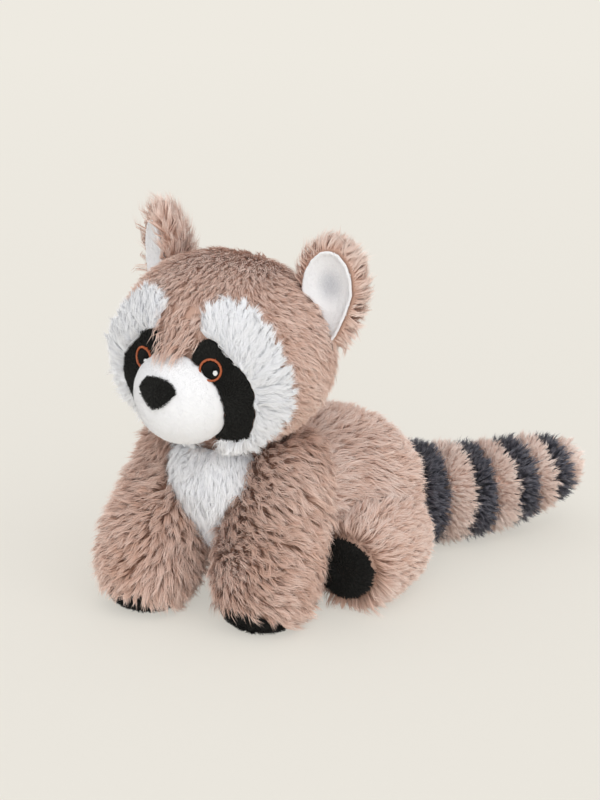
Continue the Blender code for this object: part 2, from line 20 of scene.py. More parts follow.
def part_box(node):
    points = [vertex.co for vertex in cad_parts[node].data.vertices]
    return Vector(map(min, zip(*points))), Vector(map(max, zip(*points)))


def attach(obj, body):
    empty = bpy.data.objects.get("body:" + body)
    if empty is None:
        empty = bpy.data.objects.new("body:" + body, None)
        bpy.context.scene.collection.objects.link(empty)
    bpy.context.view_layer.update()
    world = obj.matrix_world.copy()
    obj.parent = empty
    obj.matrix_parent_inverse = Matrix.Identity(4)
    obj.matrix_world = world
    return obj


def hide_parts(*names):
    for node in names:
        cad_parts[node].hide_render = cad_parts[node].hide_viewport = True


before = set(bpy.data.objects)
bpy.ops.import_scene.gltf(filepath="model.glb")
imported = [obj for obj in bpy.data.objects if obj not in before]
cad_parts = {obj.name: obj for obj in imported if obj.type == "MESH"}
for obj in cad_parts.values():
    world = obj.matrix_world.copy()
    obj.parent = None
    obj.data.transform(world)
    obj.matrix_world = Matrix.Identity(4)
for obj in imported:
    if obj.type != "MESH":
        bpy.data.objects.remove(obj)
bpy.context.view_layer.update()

MM = 0.001
scene = bpy.context.scene

# %% [markdown]
# ## Colours
#
# Colours are written as sRGB hex values, as a colour picker shows them. Blender's shaders work in
# linear light, so one function turns each value.


# %% Turn hex colours to linear
def linear(hex_colour):
    """A linear RGBA colour from an sRGB hex value."""
    parts = [int(hex_colour[i:i + 2], 16) / 255 for i in (1, 3, 5)]
    return [p / 12.92 if p <= 0.04045 else ((p + 0.055) / 1.055) ** 2.4 for p in parts] + [1.0]


print("Pale cream, linear:", [round(c, 3) for c in linear("#EEEAE1")])

# %% [markdown]
# ## Nodes
#
# A material is a small graph. One function adds a node, sets its values and links its inputs, so a
# material reads as a list of steps.


# %% Add one node with its settings and links
def add_node(tree, kind, settings=None, inputs=None):
    """A new node of that kind. An input is a value, or a (node, output) pair to link from."""
    node = tree.nodes.new(kind)
    for key, value in (settings or {}).items():
        setattr(node, key, value)
    for key, value in (inputs or {}).items():
        if isinstance(value, tuple) and hasattr(value[0], "outputs"):
            tree.links.new(value[0].outputs[value[1]], node.inputs[key])
        else:
            node.inputs[key].default_value = value
    return node


def new_material(name):
    """An empty material of that name, its node tree and its output node."""
    material = bpy.data.materials.new(name)
    material.use_nodes = True
    material.node_tree.nodes.clear()
    return material, material.node_tree, add_node(material.node_tree, "ShaderNodeOutputMaterial")


print("Node kinds at hand:", len([n for n in dir(bpy.types) if n.startswith("ShaderNode")]))

# %% [markdown]
# ## Pile fabric
#
# Polyester pile is thousands of fine, slightly glossy fibres. Light reaches the tips and little of
# it reaches the base, and the dye looks deeper there. Each fibre here carries two numbers in a UV
# map: its own tint across, and how far along the fibre a point is. The colour is read from those
# two, so a fibre runs from a dark root to a pale tip, and neighbours differ a little. That dark
# root is in part the pile's own deeper tone and in part painted shade for the light that doesn't
# reach the base. The skin under the pile takes a colour near the root, which is painted shade in
# the gaps between fibres. Plastic has an IOR near 1.5. A low sheen gives the soft rim that a pile
# fabric shows against the light. Long white pile gets a strong one, which stands for the light that
# bounces on among white fibres.

# %% Pile material
POLYESTER_IOR = 1.54
BAKE_UV = "OFBake"


def pile_material(name, cool, warm, roughness=0.62, sheen=0.25, gloss=0.5):
    """Polyester pile. cool and warm are (root, middle, tip) colours of the two ends of the tint."""
    material, tree, output = new_material(name)
    uv = add_node(tree, "ShaderNodeUVMap", {"uv_map": BAKE_UV})
    split = add_node(tree, "ShaderNodeSeparateXYZ", inputs={"Vector": (uv, "UV")})
    ramps = []
    for colours in (cool, warm):
        ramp = add_node(tree, "ShaderNodeValToRGB", inputs={"Fac": (split, "Y")})
        ramp.color_ramp.elements.new(0.5)
        for stop, place, colour in zip(ramp.color_ramp.elements, (0.0, 0.45, 1.0), colours):
            stop.position, stop.color = place, linear(colour)
        ramps.append(ramp)
    tint = add_node(tree, "ShaderNodeMix", {"data_type": "RGBA"},
                    {"Factor": (split, "X"), "A": (ramps[0], "Color"), "B": (ramps[1], "Color")})
    fibre = add_node(tree, "ShaderNodeBsdfPrincipled", inputs={
        "Base Color": (tint, "Result"), "Roughness": roughness, "IOR": POLYESTER_IOR,
        "Specular IOR Level": gloss, "Sheen Weight": sheen, "Sheen Roughness": 0.5})
    tree.links.new(fibre.outputs["BSDF"], output.inputs["Surface"])
    return material


TAUPE_LONG = pile_material("knitted polyester long pile, taupe",
                           ("#8E6148", "#DAB39F", "#F6E3D9"), ("#A47963", "#EBCDBE", "#FFF4ED"))
WHITE_LONG = pile_material("knitted polyester long pile, white",
                           ("#F6F7FA", "#FAFBFF", "#FDFEFF"), ("#F8F9FC", "#FCFDFF", "#FEFEFF"), sheen=1.0)
CHARCOAL_LONG = pile_material("knitted polyester long pile, charcoal",
                              ("#121217", "#33333D", "#74747F"), ("#1C1C23", "#474753", "#A0A0AA"), sheen=0.2,
                              gloss=0.4)
# The white velour's grey root colour is painted shade, at the base of its pile and in the hollow of an ear
# lining.
WHITE_SHORT = pile_material("sheared polyester velour, white",
                            ("#B9BAC2", "#F2F2F4", "#F6F6F8"), ("#C6C7CD", "#F4F4F5", "#F8F8F9"), 0.7, 0.15)
BLACK_SHORT = pile_material("sheared polyester velour, black",
                            ("#080808", "#131312", "#232321"), ("#0C0C0B", "#1B1B1A", "#323230"),
                            0.8, 0.02, 0.15)
print("Pile materials:", [m.name for m in bpy.data.materials if "pile" in m.name or "velour" in m.name])

# %% [markdown]
# ## Camera
#
# The photograph was taken from the toy's front left, a little above it, with a long lens. The
# camera stands back along that direction and looks at the middle of the toy.

# %% Camera at the photograph's angle
CAMERA_AZIMUTH, CAMERA_ELEVATION = math.radians(38), math.radians(19)
CAMERA_DISTANCE, LENS, SENSOR = 1.1, 89.1, 36
LOOK_AT = Vector((-0.0211, -0.0026, 0.095))

to_camera = Vector((math.sin(CAMERA_AZIMUTH) * math.cos(CAMERA_ELEVATION),
                    -math.cos(CAMERA_AZIMUTH) * math.cos(CAMERA_ELEVATION), math.sin(CAMERA_ELEVATION)))
camera = bpy.data.objects.new("camera", bpy.data.cameras.new("camera"))
camera.data.lens, camera.data.sensor_width = LENS, SENSOR
camera.location = LOOK_AT + CAMERA_DISTANCE * to_camera
camera.rotation_euler = (-to_camera).to_track_quat("-Z", "Y").to_euler()
scene.collection.objects.link(camera)
scene.camera = camera
print("Camera at", [round(v, 3) for v in camera.location])

# %% [markdown]
# ## Floor and light
#
# The toy sits on a plain cream paper floor. A large soft lamp stands to the right of the camera,
# so the toy's left sides are bright and a soft shadow falls to the left. A weaker one fills the
# other side, and the sky gives the rest, which keeps the shadows pale. Camera rays that miss the
# floor see the same cream, and far from the toy the floor fades to it, so no edge shows.

# %% Floor, lamps and sky
PAPER = "#EEEAE1"
PAPER_GLOW = 0.55
FLOOR_RADIUS = 3.2
FADE_START, FADE_END = 0.35, 1.8


def seen_by_camera(tree):
    """A (node, output) pair that is 1 for rays from the camera, in gloss or through glass."""
    path = add_node(tree, "ShaderNodeLightPath")
    seen = add_node(tree, "ShaderNodeMath", {"operation": "ADD"},
                    {0: (path, "Is Camera Ray"), 1: (path, "Is Glossy Ray")})
    seen = add_node(tree, "ShaderNodeMath", {"operation": "ADD", "use_clamp": True},
                    {0: (seen, "Value"), 1: (path, "Is Transmission Ray")})
    return seen, "Value"


def add_floor():
    """A round sheet of paper, far larger than the view."""
    edit = bmesh.new()
    bmesh.ops.create_circle(edit, cap_ends=True, segments=96, radius=FLOOR_RADIUS)
    mesh = bpy.data.meshes.new("paper_floor")
    edit.to_mesh(mesh)
    edit.free()
    floor = bpy.data.objects.new("paper_floor", mesh)
    scene.collection.objects.link(floor)
    material, tree, output = new_material("matt backdrop paper")
    place = add_node(tree, "ShaderNodeTexCoord")
    grain = add_node(tree, "ShaderNodeTexNoise", inputs={
        "Vector": (place, "Object"), "Scale": 1 / (1.2 * MM), "Detail": 2.0})
    bump = add_node(tree, "ShaderNodeBump", inputs={
        "Height": (grain, "Fac"), "Strength": 0.04, "Distance": 0.1 * MM})
    paper = add_node(tree, "ShaderNodeBsdfPrincipled", inputs={
        "Base Color": linear(PAPER), "Roughness": 0.95, "Specular IOR Level": 0.1,
        "Normal": (bump, "Normal")})
    glow = add_node(tree, "ShaderNodeEmission", inputs={"Color": linear(PAPER), "Strength": 1.0})
    away = add_node(tree, "ShaderNodeVectorMath", {"operation": "LENGTH"}, {0: (place, "Object")})
    fade = add_node(tree, "ShaderNodeMapRange", inputs={
        "Value": (away, "Value"), "From Min": FADE_START, "From Max": FADE_END,
        "To Min": PAPER_GLOW, "To Max": 1.0})
    share = add_node(tree, "ShaderNodeMath", {"operation": "MULTIPLY"},
                     {0: seen_by_camera(tree), 1: (fade, "Result")})
    mix = add_node(tree, "ShaderNodeMixShader", inputs={
        0: (share, "Value"), 1: (paper, "BSDF"), 2: (glow, "Emission")})
    tree.links.new(mix.outputs["Shader"], output.inputs["Surface"])
    mesh.materials.append(material)
    return floor


def add_soft_lamp(name, place, spread, strength):
    """A far lamp of that spread in degrees, which shines from that side of the toy."""
    lamp = bpy.data.objects.new(name, bpy.data.lights.new(name, "SUN"))
    lamp.data.angle, lamp.data.energy = math.radians(spread), strength
    lamp.location = place
    lamp.rotation_euler = (Vector(place) - LOOK_AT).to_track_quat("Z", "Y").to_euler()
    scene.collection.objects.link(lamp)
    return lamp


def add_sky(strength):
    """An even white sky for light, and the paper's cream for rays from the camera and in gloss."""
    world = bpy.data.worlds.new("studio")
    world.use_nodes = True
    tree = world.node_tree
    tree.nodes.clear()
    light = add_node(tree, "ShaderNodeBackground", inputs={"Color": linear("#FFFFFF"), "Strength": strength})
    cream = add_node(tree, "ShaderNodeBackground", inputs={"Color": linear(PAPER), "Strength": 1.0})
    mix = add_node(tree, "ShaderNodeMixShader", inputs={
        0: seen_by_camera(tree), 1: (light, "Background"), 2: (cream, "Background")})
    output = add_node(tree, "ShaderNodeOutputWorld", inputs={"Surface": (mix, "Shader")})
    scene.world = world
    return output


add_floor()
add_sky(0.62)
add_soft_lamp("key_lamp", (1.25, -0.65, 1.05), 70, 1.28)
add_soft_lamp("fill_lamp", (-0.35, -1.35, 0.60), 110, 0.60)
scene.view_settings.view_transform = "Standard"

# %% [markdown]
# ## Skins
#
# The CAD solids have few faces and a bumpy outline that stands for the pile. Under real pile lies
# a smooth knitted backing. A voxel remesh gives each solid an even mesh, and smoothing takes the
# bumps out. The skin then shrinks a little, so it stays clear of its neighbours. A cloth
# simulation could puff up flat panels, but these solids are full already, so smoothing does.

# %% Make a smooth skin from a solid
WELD = 0.01 * MM


class Skin:
    """Points, triangles, normals and triangle areas of a smooth closed mesh."""

    def __init__(self, mesh, inset, dish):
        self.points = np.empty(len(mesh.vertices) * 3)
        mesh.vertices.foreach_get("co", self.points)
        self.normals = np.empty(len(mesh.vertices) * 3)
        mesh.vertex_normals.foreach_get("vector", self.normals)
        mesh.calc_loop_triangles()
        self.triangles = np.empty(len(mesh.loop_triangles) * 3, np.int32)
        mesh.loop_triangles.foreach_get("vertices", self.triangles)
        self.points, self.normals = self.points.reshape(-1, 3), self.normals.reshape(-1, 3)
        self.triangles = self.triangles.reshape(-1, 3)
        self.points -= self.normals * inset
        if dish:
            self.points += dish(self.points)
        a, b, c = (self.points[self.triangles[:, i]] for i in range(3))
        self.areas = np.linalg.norm(np.cross(b - a, c - a), axis=1) / 2


def skin_of(node, voxel, inset, rounds, dish=None):
    """The smooth skin of a CAD node. dish gives how far each point moves, where the form needs it."""
    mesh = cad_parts[node].data.copy()
    edit = bmesh.new()
    edit.from_mesh(mesh)
    bmesh.ops.remove_doubles(edit, verts=edit.verts, dist=WELD)
    edit.to_mesh(mesh)
    edit.free()
    draft = bpy.data.objects.new("draft", mesh)
    scene.collection.objects.link(draft)
    even = draft.modifiers.new("even", "REMESH")
    even.mode, even.voxel_size = "VOXEL", voxel
    smooth = draft.modifiers.new("smooth", "SMOOTH")
    smooth.factor, smooth.iterations = 0.5, rounds
    finished = bpy.data.meshes.new_from_object(draft.evaluated_get(bpy.context.evaluated_depsgraph_get()))
    skin = Skin(finished, inset, dish)
    for used in (mesh, finished):
        bpy.data.meshes.remove(used)
    return skin


print("A trial skin of the nose has", len(skin_of("nose", 1.0 * MM, 0.1 * MM, 4).points), "points")

# %% [markdown]
# ## Neighbours
#
# Fibres don't grow where two parts touch, and they don't run through the part next door. Each
# solid gets a search tree that finds its nearest point, which tells whether a place is inside it.


# %% Search trees of the solids
TOUCH_HEIGHT = 1.5 * MM
TOUCH_REACH = 0.9 * MM


def tree_of(node):
    """A search tree over the node's faces."""
    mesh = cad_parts[node].data
    return BVHTree.FromPolygons([v.co for v in mesh.vertices], [p.vertices for p in mesh.polygons])


solid_tree = {node: tree_of(node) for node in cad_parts}
solid_box = {node: [np.array(corner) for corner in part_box(node)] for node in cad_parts}


def middle(node):
    """The middle of a node's box."""
    return (solid_box[node][0] + solid_box[node][1]) / 2


def near_points(points, node, reach):
    """Indices of the points within reach of the node's box."""
    low, high = solid_box[node]
    return np.nonzero(np.all((points > low - reach) & (points < high + reach), axis=1))[0]


def is_covered(points, normals, own, reach):
    """Which points of a skin have another solid over them, within reach."""
    covered = np.zeros(len(points), bool)
    for node in solid_tree:
        if node in own:
            continue
        for i in near_points(points, node, reach):
            if not covered[i]:
                point, normal, tree = Vector(points[i]), Vector(normals[i]), solid_tree[node]
                covered[i] = (tree.ray_cast(point, normal, reach)[0] is not None
                              or tree.find_nearest(point + normal * TOUCH_HEIGHT, TOUCH_REACH)[0] is not None)
    return covered


def hangs_over(points, normals, panels, reach, overhang):
    """Which points stand over the face of a panel, further in from its rim than overhang."""
    over = np.zeros(len(points), bool)
    for node in panels:
        centre, tree = Vector(middle(node)), solid_tree[node]
        for i in near_points(points, node, reach):
            point = Vector(points[i])
            place, normal, _, distance = tree.find_nearest(point)
            facing = normal.dot(Vector(normals[i])) > 0.3
            if distance < reach and facing and (point - place).dot(normal) > 0.75 * distance:
                outward = place - centre
                outward -= normal * outward.dot(normal)
                rim = place + outward.normalized() * overhang
                over[i] |= tree.find_nearest(rim)[3] < 0.3 * MM + 0.25 * overhang
    return over


def keep_clear(points, own, reach):
    """Moves the points that lie in another solid out to its surface and reach beyond, and gives how far."""
    moved = np.zeros(len(points))
    for node in solid_tree:
        if node in own:
            continue
        for i in near_points(points, node, reach):
            point = Vector(points[i])
            place, normal, _, _ = solid_tree[node].find_nearest(point)
            if (point - place).dot(normal) < reach:
                points[i] = place + normal * reach
                moved[i] += (Vector(points[i]) - point).length
    return moved


print("Search trees:", len(solid_tree))

# %% [markdown]
# ## Growing pile
#
# Pile falls in locks: a dozen or so fibres lean together and their tips meet. So the fibres here
# are grown in clumps. A nap function gives each clump its direction along the skin, noise turns
# it a little, and each fibre starts at its own root and bends towards its clump's tip. Some
# fibres stay loose, and a few stray. A fibre is a flat ribbon of three triangles that narrows to
# a point. Where a long fibre would run into the next part or over a bare panel, a short one stands
# instead, as at a trimmed seam. Blender's hair curves could grow the same pile, but a mesh of
# ribbons stays in an exported model. The noise gets a fixed seed, so that every run grows the
# same coat.

# %% Grow fibres on a skin
LEVELS = np.array([0.0, 0.52, 1.0])
LEVEL_WIDTH = np.array([1.0, 0.8, 0.0])
CORNER_LEVEL = np.array([0, 0, 1, 1, 2])
RIBBON = (np.array([0, 1, 3, 2, 2, 3, 4]), np.array([0, 4]))
BARE_PANELS = [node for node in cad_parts
               if node.startswith(("mask", "iris", "pupil", "eye", "sole", "ear_lining", "nose"))]
FLOOR_CLEARANCE = 0.25 * MM
BARE_FOOT = 1.0 * MM
COVER_REACH = 4 * MM
NEIGHBOUR_CLEARANCE = 0.5 * MM
MOST_MOVED = 2.5 * MM
PANEL_REACH = (5 * MM, 6 * MM)
OVER_PANEL_SHARE = 0.008
SHORT_SHARE = 0.42
TURN_SCALE = 22 * MM
PATCH_SCALE = 17 * MM
PATCH_SHIFT = Vector((7, 3, 5))
DISH_DEPTH = 1.9 * MM
# How much darker the ear lining's colour is made where it is dished: painted shade in the hollow.
DISH_PAINTED_SHADE = 0.7
NOISE_SEED = 7
noise.seed_set(NOISE_SEED)
totals = {"triangles": 0}


def unit(vectors):
    """Each vector at length one."""
    return vectors / np.maximum(np.linalg.norm(vectors, axis=-1, keepdims=True), 1e-9)


def along_skin(vectors, normals):
    """The part of each vector that lies in the skin, at length one."""
    return unit(vectors - normals * np.sum(vectors * normals, axis=1, keepdims=True))


def scatter(skin, count, draw):
    """Random places on a skin, even by area, and their normals."""
    picks = draw.choice(len(skin.areas), count, p=skin.areas / skin.areas.sum())
    a, b = np.sqrt(draw.random(count)), draw.random(count)
    share = np.stack([1 - a, a * (1 - b), a * b], axis=1)[:, :, None]
    corners = skin.triangles[picks]
    return (skin.points[corners] * share).sum(1), unit((skin.normals[corners] * share).sum(1))


def write_piece(name, skin, strands, skin_uv, strand_uv, material, pattern=RIBBON):
    """One mesh of the skin's triangles and the strands, with its UV map and material. pattern holds the
    corners of one strand's faces in a row, and where in that row each face starts."""
    count, corners, face_starts = len(strands), *pattern
    points = np.concatenate([skin.points, strands.reshape(-1, 3)])
    first = len(skin.points) + strands.shape[1] * np.arange(count)
    loops = np.concatenate([skin.triangles.ravel(), (first[:, None] + corners).ravel()])
    skin_starts = 3 * np.arange(len(skin.triangles))
    strand_starts = 3 * len(skin.triangles) + len(corners) * np.arange(count)[:, None] + face_starts
    starts = np.concatenate([skin_starts, strand_starts.ravel()])
    mesh = bpy.data.meshes.new(name)
    mesh.vertices.add(len(points))
    mesh.vertices.foreach_set("co", points.astype(np.float32).ravel())
    mesh.loops.add(len(loops))
    mesh.loops.foreach_set("vertex_index", loops.astype(np.int32))
    mesh.polygons.add(len(starts))
    mesh.polygons.foreach_set("loop_start", starts.astype(np.int32))
    mesh.update(calc_edges=True)
    mesh.polygons.foreach_set("use_smooth", np.ones(len(starts), bool))
    uv = np.concatenate([skin_uv, strand_uv.reshape(-1, 2)])[loops]
    mesh.uv_layers.new(name=BAKE_UV).data.foreach_set("uv", uv.astype(np.float32).ravel())
    mesh.materials.append(material)
    piece = bpy.data.objects.new(name, mesh)
    scene.collection.objects.link(piece)
    triangles = len(skin.triangles) + count * (len(corners) - 2 * len(face_starts))
    totals["triangles"] += triangles
    print(f"{name}: {count} strands, {triangles} triangles")
    return piece


def grow(name, node, material, nap, length, per_mm2, seed, clump=2.3 * MM, width=0.42 * MM,
         lift=0.42, lay=1.0, swirl=0.32, pull=0.55, loose=0.42, voxel=3.2 * MM, inset=0.8 * MM, rounds=6,
         skin_along=0.2, overhang=1.5 * MM, shade=(0.0, 1.0), twist=0.6, stand=None, dish=None,
         strict=True):
    """A furry piece for a CAD node: a smooth skin and its pile.

    clump, width and per_mm2 size the locks and the fibres. lift and lay say how far a fibre rises and
    runs along the skin, swirl how much the nap turns, pull how far fibres lean into their lock, loose
    what share doesn't, and twist how far the ribbons turn. voxel, inset and rounds shape the skin.
    skin_along and shade place the skin's and the fibres' colour between root and tip; the dark root
    end is in part painted shade. overhang is how far the pile may hang over a bare panel, and strict
    asks for that test. stand gives how much more the pile rises at a place, and dish how far the skin
    sinks there and how much its colour darkens there as painted shade.
    """
    draw = np.random.default_rng(seed)
    skin = skin_of(node, voxel, inset, rounds, dish)
    area = skin.areas.sum() / MM ** 2
    roots, normals = scatter(skin, int(area * per_mm2), draw)
    hidden = is_covered(roots, normals, {node}, COVER_REACH)
    hidden |= roots[:, 2] < BARE_FOOT
    roots, normals = roots[~hidden], normals[~hidden]
    count = len(roots)

    locks = int(area / (clump / MM) ** 2 * count / (area * per_mm2))
    centres = draw.choice(count, max(1, locks), replace=False)
    finder = KDTree(len(centres))
    for i, centre in enumerate(centres):
        finder.insert(Vector(roots[centre]), i)
    finder.balance()
    lock = np.array([finder.find(Vector(root))[1] for root in roots])

    centre_points, centre_normals = roots[centres], normals[centres]
    turns = np.array([noise.noise_vector(Vector(p) / TURN_SCALE) for p in centre_points])
    patch = np.array([noise.noise(Vector(p) / PATCH_SCALE + PATCH_SHIFT) for p in centre_points])
    lean = along_skin(nap(centre_points, centre_normals), centre_normals)
    lean = along_skin(lean + swirl * 2 * turns + 0.22 * draw.normal(size=lean.shape), centre_normals)
    side = np.cross(centre_normals, lean)
    rises = stand(centre_points) if stand else np.ones(len(centres))
    lock_length = length * draw.uniform(0.82, 1.12, len(centres)) * (1 + 0.15 * patch) * (0.7 + 0.3 * rises)
    lock_lift = lift * draw.uniform(0.75, 1.3, len(centres)) * rises
    lock_curl = draw.normal(0, 0.10, len(centres))
    lock_tint = np.clip(0.5 + 0.8 * patch + draw.normal(0, 0.20, len(centres)), 0, 1)

    kind = draw.random(count)
    is_loose, is_stray = kind < loose, kind < 0.05
    fibre_pull = np.where(is_loose, 0.12, pull * draw.uniform(0.7, 1.1, count))[:, None]
    stray = np.clip(draw.normal(size=(count, 3)), -1.5, 1.5) * np.where(is_stray, 0.17, 0.085)[:, None]
    fibre_length = (lock_length[lock] * np.where(is_loose, draw.uniform(0.55, 1.0, count),
                                                 draw.uniform(0.78, 1.05, count)))[:, None]
    pale = np.where(is_loose, draw.uniform(0.6, 0.95, count), draw.uniform(0.85, 1.0, count))

    def lay_out(chosen, share, overhang):
        """Points along the chosen fibres at that share of their length, and which fibres lie free."""
        own, free, levels = lock[chosen], np.ones(len(chosen), bool), []
        for t in LEVELS:
            rise = lock_lift[own][:, None] * (2.1 * t - 1.1 * t * t)
            run = lay * (0.38 * t + 0.50 * t * t)
            bend = lock_curl[own][:, None] * math.sin(math.pi * t)
            way = centre_normals[own] * rise + lean[own] * run + side[own] * bend + stray[chosen] * t ** 1.5
            gather = (centre_points[own] - roots[chosen]) * fibre_pull[chosen] * t ** 1.25
            line = roots[chosen] + share * (gather + fibre_length[chosen] * way)
            if t:
                free &= keep_clear(line, {node}, NEIGHBOUR_CLEARANCE) < MOST_MOVED
            line[:, 2] = np.maximum(line[:, 2], FLOOR_CLEARANCE)
            levels.append(line)
        if strict:
            over = hangs_over(levels[1], normals[chosen], BARE_PANELS, PANEL_REACH[0], overhang)
            over |= hangs_over(levels[2], normals[chosen], BARE_PANELS, PANEL_REACH[1], overhang)
            free &= ~over | (draw.random(len(chosen)) < OVER_PANEL_SHARE)
        return np.stack(levels, axis=1), free

    lines, free = lay_out(np.arange(count), 1.0, overhang)
    cramped = np.nonzero(~free)[0]
    lines[cramped], free[cramped] = lay_out(cramped, SHORT_SHARE, 0.0)
    lines, normals, lock, pale, count = lines[free], normals[free], lock[free], pale[free], int(free.sum())

    ahead = unit(np.gradient(lines, axis=1))
    across = unit(np.cross(ahead, normals[:, None, :]))
    out = np.cross(across, ahead)
    turn = draw.uniform(-twist, twist, count)[:, None, None]
    across = across * np.cos(turn) + out * np.sin(turn)
    half = (width / 2 * draw.uniform(0.7, 1.25, count))[:, None, None] * LEVEL_WIDTH[None, :, None]
    left, right = lines - across * half, lines + across * half
    fibres = np.stack([left[:, 0], right[:, 0], left[:, 1], right[:, 1], lines[:, 2]], axis=1)
    fibres[:, :, 2] = np.maximum(fibres[:, :, 2], FLOOR_CLEARANCE)

    tint = np.clip(lock_tint[lock] + draw.normal(0, 0.12, count), 0.02, 0.98)
    root_shade, tip_shade = shade
    along = root_shade + (tip_shade - root_shade) * LEVELS[CORNER_LEVEL] * pale[:, None]
    skin_shade = np.full(len(skin.points), skin_along)
    # Where the skin is dished, the fibres and the skin get a darker colour: painted shade in the hollow.
    if dish:
        along *= 1 - DISH_PAINTED_SHADE * np.linalg.norm(dish(lines[:, 0]), axis=1)[:, None] / DISH_DEPTH
        skin_shade *= 1 - DISH_PAINTED_SHADE * np.linalg.norm(dish(skin.points), axis=1) / DISH_DEPTH
    fibre_uv = np.stack([np.repeat(tint[:, None], len(CORNER_LEVEL), 1), along * 0.98 + 0.01], 2)
    skin_uv = np.stack([np.full(len(skin.points), 0.4), skin_shade], 1)
    piece = write_piece(name, skin, fibres, skin_uv, fibre_uv, material)
    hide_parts(node)
    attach(piece, "root")
    return piece


def lean_to(x, y, z):
    """A nap that leans the same way all over."""
    return lambda points, normals: np.tile([float(x), float(y), float(z)], (len(points), 1))


# %% [markdown]
# ## Body
#
# The biggest sewn sack, from chest to rump. The coat on the back and the flanks leans towards the
# tail and a little down, the way a hand strokes it. On the chest it hangs.


# %% Body coat
def body_nap(points, normals):
    """Back towards the tail, and down where the coat faces forward."""
    front = np.clip(-normals[:, 1:2], 0, 1)
    return np.array([0.05, 0.9, -0.35]) * (1 - front) + np.array([0, 0, -1.0]) * front


grow("body_coat", "body", TAUPE_LONG, body_nap, 10.5 * MM, 1.6, 11, skin_along=0.3,
     shade=(0.12, 1))

# %% [markdown]
# ## Head
#
# The pile on the head is a little shorter. It runs from the crown down the forehead to the
# muzzle, and on the sides it sweeps back and down. A tuft on the bridge hangs between the eyes and
# hides where the muzzle is sewn on.

# %% Head coat
head_middle = middle("head")
nose_middle = middle("nose")


def head_nap(points, normals):
    """Forward and down in a blaze between the cheeks, back and down beside it."""
    out = points[:, 0:1] - head_middle[0]
    blaze = np.clip((42 * MM - np.abs(out)) / (26 * MM), 0, 1) * np.clip(2.5 - 4 * normals[:, 1:2], 0, 1)
    forward = np.array([0, -0.75, -0.65])
    back = np.clip(out / (25 * MM), -1, 1) * [0.35, 0, 0] + [0, 0.55, -0.65]
    return forward * blaze + back * (1 - blaze)


def bridge_stand(points):
    """The pile stands up on the bridge between the eyes, and hangs over the top of the muzzle."""
    above = points[:, 2] - (middle("muzzle")[2] + 22 * MM)
    beside = np.abs(points[:, 0] - nose_middle[0] * 0.75 - head_middle[0] * 0.25 + 3 * MM)
    near = np.clip(1 - np.abs(above - 4 * MM) / (18 * MM), 0, 1) * np.clip(1.8 - beside / (10 * MM), 0, 1)
    return 1 + 1.7 * near * (points[:, 1] < head_middle[1])


# The head's fibres stop short of the palest tips: in part the head's own deeper tone, in part painted shade
# for its shaded sides.
grow("head_coat", "head", TAUPE_LONG, head_nap, 7.5 * MM, 2.2, 12, clump=1.7 * MM,
     width=0.40 * MM, lift=0.38, swirl=0.20, pull=0.50, skin_along=0.3, overhang=5 * MM, shade=(0.10, 0.84),
     stand=bridge_stand)

# %% [markdown]
# ## Cheeks and bib
#
# Panels of long white pile, let into the taupe. On the cheeks it fans away from the eye, and on the
# bib it hangs. The ribbons twist little here, so that they shade each other less and stay white.

# %% White long pile
for label in ("left", "right"):
    mask_middle = middle(f"mask_{label}")

    def cheek_nap(points, normals, origin=mask_middle):
        """Away from the eye."""
        return points - origin

    grow(f"cheek_coat_{label}", f"cheek_{label}", WHITE_LONG, cheek_nap, 8.5 * MM, 5.2,
         21 if label == "left" else 22, clump=1.8 * MM, width=0.38 * MM, lift=0.28, swirl=0.15, pull=0.45,
         voxel=1.2 * MM, inset=0, rounds=1, skin_along=0.5, overhang=2.5 * MM, twist=0.25)

grow("bib_coat", "bib", WHITE_LONG, lean_to(0, -0.2, -1), 10 * MM, 4.2, 23,
     clump=2.0 * MM, lift=0.30, swirl=0.2, pull=0.4, voxel=1.4 * MM, inset=0.2 * MM, rounds=2, skin_along=0.5,
     twist=0.25)

# %% [markdown]
# ## Legs
#
# On a foreleg the pile parts along the inner front and lies round the leg from there, and it
# flares at the foot. On a haunch it fans out from the sole.

# %% Leg coats
for label, sign, seed in (("left", 1, 31), ("right", -1, 32)):
    foot_middle = middle(f"sole_fore_{label}")
    hind_sole_middle = middle(f"sole_hind_{label}")

    def foreleg_nap(points, normals, sign=sign, foot=foot_middle):
        """Round the leg from its inner front, and flared at the foot."""
        low = np.clip((36 * MM - points[:, 2:3]) / (36 * MM), 0, 1)
        round_leg = np.array([0.70, 0.45, -0.45] if sign > 0 else [-0.55, 0.10, -0.80])
        flare = unit((points - foot) * [1, 1, 0]) + [0, 0, -0.5]
        return round_leg * (1 - 0.7 * low) + flare * 1.1 * low

    def hindleg_nap(points, normals, origin=hind_sole_middle):
        """Out from the sole, and a little down."""
        return unit(points - origin) + [0, 0, -0.25]

    def rim_stand(points, origin=hind_sole_middle):
        """The pile stands up round the sole, so that no knit shows there."""
        return 1 + 0.9 * np.clip((24 * MM - np.linalg.norm(points - origin, axis=1)) / (7 * MM), 0, 1)

    # The forelegs keep to the darker part of the root-to-tip colours, and their skin stays near the root:
    # painted shade, for legs that stand beneath the head and face away from the light.
    grow(f"foreleg_coat_{label}", f"foreleg_{label}", TAUPE_LONG, foreleg_nap,
         11.5 * MM, 2.3, seed, clump=2.4 * MM, lift=0.62, lay=0.85, pull=0.6, skin_along=0.08,
         overhang=8 * MM, shade=(0, 0.80))
    grow(f"hindleg_coat_{label}", f"hindleg_{label}", TAUPE_LONG, hindleg_nap,
         9.5 * MM, 2.3, seed + 2, swirl=0.25, overhang=2.5 * MM, shade=(0.08, 1), stand=rim_stand)

# %% [markdown]
# ## Tail
#
# Eight sewn rings of pile, dark and light in turn. The pile stands up more than on the body, and
# leans towards the tip. One long tube with painted stripes would be simpler, but each ring is cut
# and sewn by itself on the toy, and its pile stands over the seam to the next.

